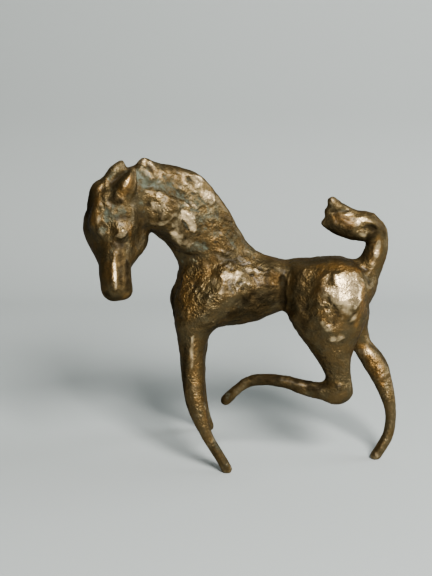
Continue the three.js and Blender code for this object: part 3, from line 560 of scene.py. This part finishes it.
class Surface:
    """A closed mesh of quads as whole arrays, in millimetres."""

    def __init__(self, mesh):
        flat = np.empty(len(mesh.vertices) * 3, np.float32)
        mesh.vertices.foreach_get("co", flat)
        self.points = flat.reshape(-1, 3).astype(float) * PER_METRE
        quads = np.empty(len(mesh.loops), np.int32)
        mesh.loops.foreach_get("vertex_index", quads)
        self.quads = quads.reshape(-1, 4)
        edges = np.empty(len(mesh.edges) * 2, np.int32)
        mesh.edges.foreach_get("vertices", edges)
        edges = edges.reshape(-1, 2)
        self.starts = np.concatenate((edges[:, 0], edges[:, 1]))
        self.ends = np.concatenate((edges[:, 1], edges[:, 0]))
        self.valence = np.bincount(self.starts, minlength=len(self.points))
        self.find_normals()

    def find_normals(self):
        """Sets each vertex's normal: the cross products of its quads' diagonals, added up, at length one."""
        corner = self.points[self.quads]
        cross = np.cross(corner[:, 2] - corner[:, 0], corner[:, 3] - corner[:, 1])
        total = np.zeros_like(self.points)
        for axis in range(3):
            weights = np.repeat(cross[:, axis], 4)
            total[:, axis] = np.bincount(self.quads.ravel(), weights=weights, minlength=len(total))
        self.normals = total / np.maximum(lengths(total), 1e-12)[:, None]

    def area(self):
        """The area of all quads, each taken as the cross product of a side and a diagonal."""
        corner = self.points[self.quads]
        return lengths(np.cross(corner[:, 1] - corner[:, 0], corner[:, 2] - corner[:, 0])).sum()

    def eased(self, values, share):
        """Each vertex's value moved by that share towards the mean of its neighbours."""
        mean = np.empty_like(values)
        for axis in range(values.shape[1]):
            total = np.bincount(self.starts, weights=values[self.ends, axis], minlength=len(values))
            mean[:, axis] = total / self.valence
        return values + share * (mean - values)

    def smooth(self, rounds):
        """Takes out what is finer than the rounds reach and keeps the volume: each round eases the points in
        and then a little further out."""
        for _ in range(rounds):
            self.points = self.eased(self.points, 0.5)
            self.points = self.eased(self.points, -0.52)
        self.find_normals()

    def raise_by(self, height):
        """Moves each vertex along its normal."""
        self.points += height[:, None] * self.normals

    def hollowness(self, rounds):
        """How far each vertex lies below the surface eased by that many rounds, in millimetres."""
        eased = self.points
        for _ in range(rounds):
            eased = self.eased(eased, 0.5)
        return ((eased - self.points) * self.normals).sum(axis=1)

    def sort_into_cells(self):
        """Notes which vertices lie in each cubic cell, so that those near a point are quickly found."""
        cells = np.floor(self.points / CELL).astype(int)
        order = np.lexsort(cells.T)
        changes = np.flatnonzero((np.diff(cells[order], axis=0) != 0).any(axis=1)) + 1
        groups = np.split(order, changes)
        self.cells = {tuple(cells[group[0]]): group for group in groups}

    def near(self, middle, radius):
        """The vertices within a radius of a point, and the way to each from it."""
        low = np.floor((middle - radius) / CELL).astype(int)
        count = np.floor((middle + radius) / CELL).astype(int) - low + 1
        groups = [self.cells.get(tuple(low + step)) for step in np.ndindex(*count)]
        found = np.concatenate([group for group in groups if group is not None])
        way = self.points[found] - middle
        inside = lengths(way) < radius
        return found[inside], way[inside]

    def look_at(self, piece):
        """Readies the lines of sight from the photograph's eye to the piece, which has this surface."""
        self.tree = BVHTree.FromObject(piece, bpy.context.evaluated_depsgraph_get())

    def meet(self, pixel, side):
        """Where the line of sight through a pixel meets the piece, and which way it faces. The line runs
        forward, plus right by the pixel's distance from the frame's middle over the focal length, plus up
        likewise. For the far side it is mirrored."""
        right = (pixel[0] - FRAME_WIDTH / 2) / FOCAL_PIXELS
        up = (FRAME_HEIGHT / 2 - pixel[1]) / FOCAL_PIXELS
        sine = math.sin(LOOK_DOWN)
        cosine = math.cos(LOOK_DOWN)
        way = np.array((right, cosine + up * sine, up * cosine - sine)) * side
        return self.tree.ray_cast((EYE * side / PER_METRE).tolist(), way.tolist())[:2]

    def trail(self, path, side):
        """A path of pixels carried along the lines of sight onto the piece: points a pixel apart, and which
        way the piece faces there."""
        corners = np.array(path, float)
        pixels = [corners[:1]]
        for start, end in zip(corners[:-1], corners[1:]):
            steps = np.arange(1, max(int(lengths(end - start)), 1) + 1)[:, None]
            pixels.append(start + (end - start) * steps / len(steps))
        met = [self.meet(pixel, side) for pixel in np.concatenate(pixels)]
        places = np.array([place for place, facing in met if place is not None]) * PER_METRE
        facings = np.array([facing for place, facing in met if place is not None])
        return places, facings

    def beside(self, path, side, width):
        """The vertices within a width of a path's trail that face as it does, and their distance from it as a
        share of that width, which tapers towards the trail's ends and wanders a little."""
        places, facings = self.trail(path, side)
        if not len(places):
            return np.empty(0, int), np.empty(0)
        low = places.min(axis=0) - width
        high = places.max(axis=0) + width
        found = np.flatnonzero(((self.points > low) & (self.points < high)).all(axis=1))
        starts = places[:-1] if len(places) > 1 else places
        run = places[1:] - places[:-1] if len(places) > 1 else np.zeros((1, 3))
        way = self.points[found][:, None] - starts
        along = (way * run).sum(axis=-1) / np.maximum((run * run).sum(axis=-1), 1e-9)
        along = np.clip(along, 0, 1)
        gap = lengths(way - along[..., None] * run)
        nearest = gap.argmin(axis=1)
        rows = np.arange(len(found))
        share = (nearest + along[rows, nearest]) / len(starts)
        taper = 1
        if len(places) > 1:
            taper = TRAIL_ENDS + (1 - TRAIL_ENDS) * np.sqrt(np.sin(math.pi * share))
        t = gap[rows, nearest] / (width * taper) + RIM_WANDER * self.wander[found]
        agree = (self.normals[found] * facings[nearest]).sum(axis=1)
        kept = (t < 1) & (agree > FACING_ALIKE)
        return found[kept], np.clip(t[kept], 0, 1)


def lay(surface, table, combine=np.maximum):
    """A table's marks laid over the surface: each mark's amount times a swell across its width. Where they
    overlap, the strongest holds, unless they are combined otherwise."""
    total = np.zeros(len(surface.points))
    for mark in starmap(Mark, table.values()):
        for side in mark.sides:
            found, t = surface.beside(mark.path, side, mark.width * MARK_REACH)
            total[found] = combine(total[found], mark.amount * swell(t))
    return total


def pellets(surface, spacing, rise, lean, seed):
    """Overlapping dabs of wax. Each has a random middle on the surface, tilt and long axis, and its height
    falls with the square of the distance from its middle, more slowly along its long axis. The surface
    follows the highest of them."""
    random = np.random.default_rng(seed)
    middles = random.choice(len(surface.points), int(surface.area() / spacing**2), replace=False)
    fall = rise / (spacing / 2) ** 2
    height = np.full(len(surface.points), -rise * 1.5)
    for middle in middles:
        found, way = surface.near(surface.points[middle], spacing * DAB_REACH)
        normal = surface.normals[middle]
        long = np.cross(normal, random.normal(size=3))
        long /= lengths(long)
        tilt = np.cross(normal, random.normal(size=3)) * lean
        along = way @ long
        level = random.uniform(-0.3, 0.3) * rise + way @ tilt
        level -= fall * ((way * way).sum(axis=1) - DAB_STRETCH * along * along)
        height[found] = np.maximum(height[found], level)
    return height - height.mean()


def pits(surface, where, count, seed):
    """Small round dents and beads left by the casting, at random places, more where a mask is high."""
    random = np.random.default_rng(seed)
    height = np.zeros(len(surface.points))
    share = where / where.sum()
    for middle in random.choice(len(where), count, replace=False, p=share):
        radius = random.uniform(*PIT_RADIUS)
        rise = random.uniform(*PIT_HEIGHT) * radius
        found, way = surface.near(surface.points[middle], radius)
        height[found] += rise * swell(lengths(way) / radius)
    return height


def cut_flat(surface, table):
    """Brings the surface to planes: each faces as the surface round it does, leaned towards the light or the
    shade, and lies its depth below the mean of the surface in its middle."""
    for facet in starmap(Facet, table.values()):
        found, t = surface.beside(facet.path, NEAR, facet.width * CUT_REACH)
        normal = surface.normals[found].mean(axis=0)
        normal += abs(facet.lean) * LEAN_SHARE * (GLEAM if facet.lean > 0 else SHADE)
        normal /= lengths(normal)
        points = surface.points[found]
        centre = points[t < CUT_MIDDLE].mean(axis=0)
        above = (points - centre) @ normal + facet.depth * DEPTH_SHARE
        above = np.clip(above, -CUT_LIMIT * facet.width, CUT_LIMIT * facet.width)
        surface.points[found] -= (CUT_SHARE * above * ease(1, 0.1, t))[:, None] * normal


def put(mesh, surface):
    """Puts the worked points back into the mesh."""
    mesh.vertices.foreach_set("co", (surface.points / PER_METRE).astype(np.float32).ravel())
    mesh.update()


def keep(mesh, name, values):
    """Keeps a number for each vertex with the mesh, for the material to read."""
    attribute = mesh.attributes.new(name, "FLOAT", "POINT")
    attribute.data.foreach_set("value", values.astype(np.float32))


def even_copy(name, voxel):
    """A copy of the cast's mesh, merged and then remeshed to even quads."""
    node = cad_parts["foal"]
    mesh = node.data.copy()
    mesh.transform(node.matrix_world)
    work = bmesh.new()
    work.from_mesh(mesh)
    bmesh.ops.remove_doubles(work, verts=work.verts, dist=1e-6)
    work.to_mesh(mesh)
    work.free()
    piece = bpy.data.objects.new(name, mesh)
    bpy.context.scene.collection.objects.link(piece)
    remesh = piece.modifiers.new("even quads", "REMESH")
    remesh.mode = "VOXEL"
    remesh.voxel_size = voxel
    shown = piece.evaluated_get(bpy.context.evaluated_depsgraph_get())
    even = bpy.data.meshes.new_from_object(shown)
    piece.modifiers.clear()
    piece.data = even
    even.name = name
    even.materials.clear()
    return piece


def model(piece, form):
    """Works the wax: smooths the copy, lays dabs and ridges on it, cuts it flat in places, and gives it its
    wrinkles, pits and creases. Keeps its hollows and its patches of patina, wear, painted highlights, painted
    sheen and painted shade with the mesh."""
    mesh = piece.data
    surface = Surface(mesh)
    surface.smooth(form.smoothing)
    surface.sort_into_cells()
    surface.wander = cloud(surface.points, 2.2, 9) + 0.5 * cloud(surface.points, 0.9, 10)
    put(mesh, surface)
    surface.look_at(piece)

    # The parts of the foal, and how coarsely each was worked
    x = surface.points[:, 0]
    z = surface.points[:, 2]
    slender = ease(*LEGS_THICKEN, z) * 0.5 + 0.5
    head = ease(*HEAD_BACK, x) * ease(*HEAD_BOTTOM, z)
    neck = ease(*NECK_BACK, x) * ease(*NECK_BOTTOM, z)
    legs = ease(*LEGS_TOP, z)
    above_soles = ease(*SOLES, z)
    rough = lay(surface, ROUGH)
    calm = 1 - 0.8 * head
    coarse = rough * calm

    # Forms laid on before the knife: dabs, hollows scooped between them, and the ridges
    dabs = pellets(surface, spacing=2.4, rise=0.3, lean=0.10, seed=11)
    scoops = -pellets(surface, spacing=3.6, rise=0.42, lean=0.12, seed=12)
    height = slender * form.relief * (
        0.35 * dabs * coarse
        + (0.2 + 0.45 * coarse) * calm * scoops
        + 0.22 * cloud(surface.points, 4.6, 17)
        + 0.10 * cloud(surface.points, 3.1, 14)
    )
    height += HEIGHT_SHARE * lay(surface, RIDGES, np.add)

    # Grit left after the knife: fine dabs, wrinkles along the way the wax was drawn, pits and creases
    crumbs = pellets(surface, spacing=1.4, rise=0.16, lean=0.10, seed=13)
    wrinkles = sum(
        share * (lumps(surface.points, 2.4, seed, along) + 0.6 * lumps(surface.points, 1.2, seed + 1, along))
        for share, along, seed in (
            (neck, DOWN_THE_NECK, 31), (0.5 * legs, DOWN_THE_LEGS, 33), (1 - neck - legs, ALONG_THE_BODY, 35)
        )
    )
    grit = slender * form.relief * (
        0.45 * crumbs * (0.1 + 0.9 * coarse)
        + 0.45 * wrinkles * (0.45 + 0.55 * coarse) * (1 - 0.5 * head)
        + 0.08 * cloud(surface.points, 1.1, 15) * (0.4 + coarse)
    )
    grit += pits(surface, 0.2 + rough, form.pits, 16)
    grit *= 1 - 0.6 * (1 - 0.6 * rough) * lay(surface, RUBBED_AND_HIGHLIGHTS)
    grit += HEIGHT_SHARE * lay(surface, CREASES, np.add)

    surface.raise_by(height * above_soles)
    surface.find_normals()
    cut_flat(surface, FACETS)
    surface.find_normals()
    surface.raise_by(grit * above_soles)
    surface.points[:, 2] = np.maximum(surface.points[:, 2], 0)
    surface.find_normals()
    put(mesh, surface)

    hollow = sum(0.5 * np.clip(surface.hollowness(rounds) / deep, -1, 1) for rounds, deep in HOLLOWS)
    keep(mesh, "hollow", hollow)
    keep(mesh, "rough", rough)
    uneven = 0.5 * cloud(surface.points, 1.6, 21) + 0.3 * cloud(surface.points, 0.7, 22)
    for name, (table, wandering) in PATCHES.items():
        keep(mesh, name, np.clip(lay(surface, table) * (1 + wandering * uneven), 0, 1))


class Value:
    """A socket of a material. Arithmetic on it adds the Math node that works it out."""

    def __init__(self, finish, socket):
        self.finish = finish
        self.socket = socket

    def math(self, operation, first, second):
        return self.finish.node("ShaderNodeMath", {"operation": operation}, {0: first, 1: second})

    def __add__(self, other):
        return self.math("ADD", self, other)

    def __radd__(self, other):
        return self.math("ADD", other, self)

    def __sub__(self, other):
        return self.math("SUBTRACT", self, other)

    def __rsub__(self, other):
        return self.math("SUBTRACT", other, self)

    def __mul__(self, other):
        return self.math("MULTIPLY", self, other)

    def __rmul__(self, other):
        return self.math("MULTIPLY", other, self)

    def or_more(self, other):
        """The greater of the two."""
        return self.math("MAXIMUM", self, other)


class Finish:
    """A material and the one way in which nodes are added to it."""

    def __init__(self, name):
        self.material = bpy.data.materials.new(name)
        self.material.use_nodes = True
        self.tree = self.material.node_tree
        self.tree.nodes.clear()

    def node(self, kind, settings=None, inputs=None, output=0):
        """Adds a node, sets its settings and then its inputs, and gives the wanted output."""
        node = self.tree.nodes.new(kind)
        for name, value in (settings or {}).items():
            setattr(node, name, value)
        for name, value in (inputs or {}).items():
            socket = node.inputs[name]
            if isinstance(value, Value):
                self.tree.links.new(value.socket, socket)
            else:
                socket.default_value = value
        return Value(self, node.outputs[output]) if node.outputs else None

    def attribute(self, name):
        """A number kept with the mesh."""
        return self.node("ShaderNodeAttribute", {"attribute_name": name}, output="Fac")

    def between(self, value, low, high):
        """Nought up to low and one from high on, with a smooth step between."""
        settings = {"interpolation_type": "SMOOTHSTEP"}
        return self.node("ShaderNodeMapRange", settings, {"Value": value, "From Min": low, "From Max": high})

    def blend(self, share, first, second):
        """A colour between two others."""
        settings = {"data_type": "RGBA", "clamp_factor": True}
        return self.node("ShaderNodeMix", settings, {0: share, 6: first, 7: second}, output=2)

    def noise(self, place, scale, detail, roughness=0.5):
        """Soft noise about a half, with that many cells to the metre."""
        inputs = {"Vector": place, "Scale": scale, "Detail": detail, "Roughness": roughness}
        return self.node("ShaderNodeTexNoise", inputs=inputs)


def opaque(colour):
    """The colour with full alpha."""
    return (*colour, 1.0)


def bronze_finish(patina):
    """Brown patina over bronze: darker in hollows, bare bronze where hands rub the high places, grey-green
    where powdery, with painted highlights, painted sheen and painted shade laid into the colour. Mottles,
    dents and grain are 4, 1.6 and 0.8 millimetres across."""
    finish = Finish("patinated bronze")
    hollow, rough, rubbed_and_highlit, verdigris, dirt_and_shade, warm, painted_sheen = (
        finish.attribute(name) for name in ("hollow", "rough", "rubbed_and_highlit", "verdigris", "dirt_and_shade", "warm", "painted_sheen")
    )
    # The painted sheen gives way where shade is painted
    painted_sheen = painted_sheen * (1 - dirt_and_shade)
    place = finish.node("ShaderNodeTexCoord", output="Object")
    mottle = finish.noise(place, 260, 4)
    grain = finish.noise(place, 1300, 3)
    dents = finish.noise(place, 620, 3, 0.6)
    blotch = mottle - 0.5
    speck = grain - 0.5

    deep = finish.between(hollow + 0.5 * blotch, 0.05, 0.6)
    powder = finish.between(verdigris * 0.8 + 0.9 * speck + 0.8 * blotch + 0.3 * hollow, 0.2, 1.0)
    # Real wear, painted highlights and painted sheen lighten the colour towards bare bronze; painted shade
    # holds it back
    bright = rubbed_and_highlit * 0.8 + 0.3 * painted_sheen - 0.35 * hollow - 0.8 * dirt_and_shade
    wear_and_highlight = finish.between(bright + 0.5 * speck + 0.3 * blotch, 0.1, 1.1)

    colour = finish.blend(finish.between(mottle, 0.35, 0.65), opaque(patina.brown), opaque(patina.olive))
    colour = finish.blend(warm * 0.8, colour, opaque(patina.warm))
    # Hollows take the darker patina that they have; the painted shade is darkened to the same colour
    colour = finish.blend((deep * 0.8).or_more(dirt_and_shade * 0.9), colour, opaque(patina.recess_and_shade))
    colour = finish.blend(powder * 0.95, colour, opaque(patina.verdigris))
    colour = finish.blend(wear_and_highlight, colour, opaque(patina.rubbed_and_highlit))

    roughness = 0.43 - 0.17 * wear_and_highlight + 0.18 * powder + 0.2 * deep + 0.3 * dirt_and_shade + 0.2 * painted_sheen + 0.15 * speck
    metallic = 0.85 - 0.6 * powder - 0.3 * deep + 0.1 * wear_and_highlight - 0.5 * painted_sheen
    relief = (grain * 0.9 + dents * 0.8) * (0.45 + 0.8 * rough - 0.2 * wear_and_highlight)
    bump = finish.node("ShaderNodeBump", inputs={"Strength": 1.0, "Distance": 0.0006, "Height": relief})
    shader = finish.node("ShaderNodeBsdfPrincipled", inputs={
        "Base Color": colour,
        "Roughness": roughness,
        "Metallic": metallic,
        "Normal": bump,
        "Specular IOR Level": 0.3,
        "Specular Tint": opaque(patina.edge),
        "Coat Weight": 0.16 * (1 - dirt_and_shade),
        "Coat Roughness": 0.3,
    })
    finish.node("ShaderNodeOutputMaterial", inputs={"Surface": shader})
    return finish.material


class FoalForm(bpy.types.PropertyGroup):
    """How finely and how strongly the foal's surface is worked"""

    voxel: FloatProperty(name="Quad side", description="Side of the surface's quads", default=0.00049,
                         unit="LENGTH", precision=5)
    smoothing: IntProperty(name="Smoothing", description="Rounds that ease the facets away", default=17)
    relief: FloatProperty(name="Relief", description="Height of dabs and wrinkles, 1 as cast", default=1.0)
    pits: IntProperty(name="Pits", description="Number of casting pits and beads", default=1000)


class FoalPatina(bpy.types.PropertyGroup):
    """Colours of the bronze and its patina, two of which also colour the painted highlights, sheen and shade
    """

    brown: FloatVectorProperty(name="Brown", description="Brown patina", subtype="COLOR",
                               default=(0.119, 0.081, 0.036))
    olive: FloatVectorProperty(name="Olive", description="Olive patina", subtype="COLOR",
                               default=(0.100, 0.077, 0.040))
    warm: FloatVectorProperty(name="Warm", description="Warm, thin patina", subtype="COLOR",
                              default=(0.225, 0.130, 0.045))
    # Patina in hollows, and also the colour of the painted shade
    recess_and_shade: FloatVectorProperty(name="Recess", description="Patina and dirt in hollows", subtype="COLOR",
                                default=(0.024, 0.018, 0.010))
    verdigris: FloatVectorProperty(name="Verdigris", description="Grey-green powdery patina", subtype="COLOR",
                                   default=(0.102, 0.112, 0.083))
    # Also the colour of the painted highlights and the painted sheen
    rubbed_and_highlit: FloatVectorProperty(name="Rubbed", description="Bronze that hands have rubbed", subtype="COLOR",
                                default=(0.56, 0.435, 0.265))
    edge: FloatVectorProperty(name="Edge", description="Tint of what the bronze mirrors at a low angle",
                              subtype="COLOR", default=(0.22, 0.19, 0.14))


class FoalStudio(bpy.types.PropertyGroup):
    """The floor, the lights and the room"""

    cloth: FloatVectorProperty(name="Backdrop", description="Colour of floor and backdrop", subtype="COLOR",
                               default=(0.36, 0.385, 0.38))
    key: FloatProperty(name="Key light", description="Power of the main light", default=17.0, unit="POWER")
    side: FloatProperty(name="Side light", description="Power of the weak light on the right", default=11.0,
                        unit="POWER")
    surround: FloatProperty(name="Surround", description="Brightness of the room", default=0.04)


class FOAL_OT_cast(bpy.types.Operator):
    """Model the foal's surface over the cast, and give it its bronze finish"""

    bl_idname = "foal.cast"
    bl_label = "Foal"

    def execute(self, context):
        scene = context.scene
        piece = even_copy("foal_surface", scene.foal_form.voxel)
        model(piece, scene.foal_form)
        piece.data.materials.append(bronze_finish(scene.foal_patina))
        piece.data.shade_smooth()
        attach(piece, "root")
        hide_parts("foal")
        return {"FINISHED"}


def backdrop(studio):
    """One sheet: a floor that turns up in an arc into the backdrop, carried straight across."""
    front = -0.7
    turn = 0.20
    radius = 0.10
    top = 1.0
    half = 1.2
    bend_points = 24
    columns = 9
    angles = np.linspace(0, math.pi / 2, bend_points)
    y = np.concatenate(([front], turn + radius * np.sin(angles), [turn + radius]))
    z = np.concatenate(([0.0], radius * (1 - np.cos(angles)), [top]))
    x = np.linspace(-half, half, columns)
    across, run = np.meshgrid(np.arange(len(x)), np.arange(len(y)))
    points = np.stack((x[across], y[run], z[run]), axis=-1).reshape(-1, 3)
    corner = (run * len(x) + across)[:-1, :-1].ravel()
    faces = np.stack((corner, corner + 1, corner + len(x) + 1, corner + len(x)), axis=1)
    mesh = bpy.data.meshes.new("backdrop")
    mesh.from_pydata(points.tolist(), [], faces.tolist())
    mesh.shade_smooth()
    finish = Finish("backdrop cloth")
    inputs = {"Base Color": opaque(studio.cloth), "Roughness": 0.9}
    shader = finish.node("ShaderNodeBsdfPrincipled", inputs=inputs)
    finish.node("ShaderNodeOutputMaterial", inputs={"Surface": shader})
    mesh.materials.append(finish.material)
    sheet = bpy.data.objects.new("backdrop", mesh)
    bpy.context.scene.collection.objects.link(sheet)


# Colours of the lights and of the room
WARM_WHITE = (1.0, 0.98, 0.95)
COOL_WHITE = (0.95, 0.98, 1.0)
ROOM_GREY = (0.75, 0.85, 0.9)


def area_light(name, power, colour, size, azimuth, elevation, distance=0.9, aim=0.06):
    """A square light that faces the foal's middle, placed by its degrees right of the camera and upwards."""
    light = bpy.data.lights.new(name, "AREA")
    light.energy = power
    light.size = size
    light.color = colour
    lamp = bpy.data.objects.new(name, light)
    azimuth = math.radians(azimuth)
    elevation = math.radians(elevation)
    level = math.cos(elevation) * distance
    height = aim + math.sin(elevation) * distance
    lamp.location = (math.sin(azimuth) * level, -math.cos(azimuth) * level, height)
    lamp.rotation_euler = (math.pi / 2 - elevation, 0, azimuth)
    bpy.context.scene.collection.objects.link(lamp)


class FOAL_OT_stage(bpy.types.Operator):
    """Set up the floor and backdrop, the lights and the camera"""

    bl_idname = "foal.stage"
    bl_label = "Stage"

    def execute(self, context):
        scene = context.scene
        studio = scene.foal_studio
        backdrop(studio)
        area_light("key light", studio.key, WARM_WHITE, size=0.34, azimuth=24, elevation=42)
        area_light("side light", studio.side, COOL_WHITE, size=0.7, azimuth=108, elevation=20)
        world = bpy.data.worlds.new("room")
        world.use_nodes = True
        shade = world.node_tree.nodes["Background"]
        shade.inputs["Color"].default_value = opaque(ROOM_GREY)
        shade.inputs["Strength"].default_value = studio.surround
        scene.world = world
        camera = bpy.data.cameras.new("camera")
        camera.lens = LENS
        camera.sensor_width = SENSOR
        eye = bpy.data.objects.new("camera", camera)
        eye.location = EYE / PER_METRE
        eye.rotation_euler = (math.pi / 2 - LOOK_DOWN, 0, 0)
        scene.collection.objects.link(eye)
        scene.camera = eye
        scene.view_settings.look = "AgX - Medium High Contrast"
        return {"FINISHED"}


class FOAL_PT_panel(bpy.types.Panel):
    """Sizes and colours of the foal, and the operators that make it"""

    bl_idname = "FOAL_PT_panel"
    bl_label = "Bronze foal"
    bl_space_type = "VIEW_3D"
    bl_region_type = "UI"
    bl_category = "Foal"

    def draw(self, context):
        scene = context.scene
        for settings, operator in (
            (scene.foal_form, FOAL_OT_cast), (scene.foal_patina, None), (scene.foal_studio, FOAL_OT_stage)
        ):
            column = self.layout.column()
            for name in settings.__annotations__:
                column.prop(settings, name)
            if operator:
                column.operator(operator.bl_idname)


CLASSES = (FoalForm, FoalPatina, FoalStudio, FOAL_OT_cast, FOAL_OT_stage, FOAL_PT_panel)


def register():
    for cls in CLASSES:
        bpy.utils.register_class(cls)
    bpy.types.Scene.foal_form = PointerProperty(type=FoalForm)
    bpy.types.Scene.foal_patina = PointerProperty(type=FoalPatina)
    bpy.types.Scene.foal_studio = PointerProperty(type=FoalStudio)


def unregister():
    del bpy.types.Scene.foal_studio
    del bpy.types.Scene.foal_patina
    del bpy.types.Scene.foal_form
    for cls in reversed(CLASSES):
        bpy.utils.unregister_class(cls)


def main():
    register()
    bpy.ops.foal.cast()
    bpy.ops.foal.stage()


if __name__ == "__main__":
    main()
